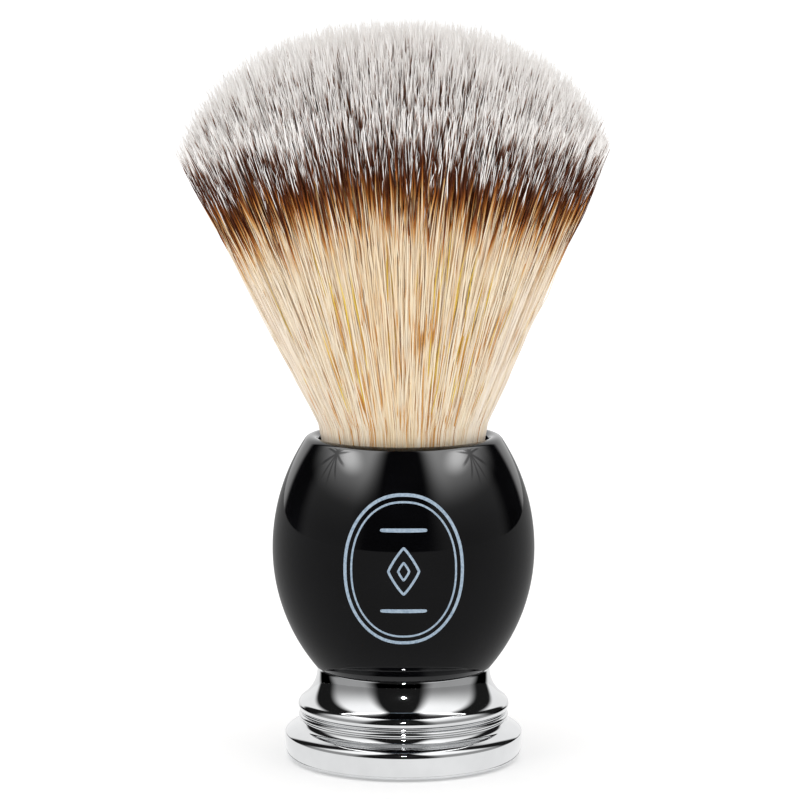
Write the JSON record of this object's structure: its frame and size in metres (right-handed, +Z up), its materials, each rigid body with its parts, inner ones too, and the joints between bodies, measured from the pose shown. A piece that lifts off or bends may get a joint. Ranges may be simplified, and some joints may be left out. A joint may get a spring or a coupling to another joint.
{
  "type": "shaving brush",
  "caption": "Shaving brush: a domed fan of soft fibres set in a glossy turned ball handle, screwed to a polished, flared metal foot.",
  "frame": {"origin": "on the surface the brush stands on, under the middle of its foot", "axes": "+Z up along the axis the brush is turned about, from the foot to the tips; -Y towards the side that carries the badge; +X to that side's right"},
  "size_m": [0.0618, 0.0538, 0.105],
  "materials": {
    "fibre": "loose fibres, cream with a dark band and white tips",
    "epoxy": "cast, translucent amber",
    "resin": "turned and polished to a high gloss",
    "brass": "machined and knurled",
    "rubber": "matt",
    "chrome": "mirror polished plating",
    "steel": "zinc plated"
  },
  "bodies": {
    "handle": {"handle_ball": "resin", "bristle_roots": "fibre", "knot_plug": "epoxy", "socket_adhesive": "epoxy", "threaded_insert": "brass", "seal_washer": "rubber", "chrome_base": "chrome", "base_screw": "steel", "spring_washer": "steel", "flat_washer": "steel", "foot_pad": "rubber"},
    "fan": {"bristle_fan": "fibre"}
  },
  "joints": [
    {"name": "bristle_sway", "type": "hinge", "parent": "handle", "child": "fan", "pos_m": [0, 0, 0.046], "axis": [0, 1, 0], "range_deg": [-25, 25], "stiffness_Nm_per_rad": 0.1}
  ]
}
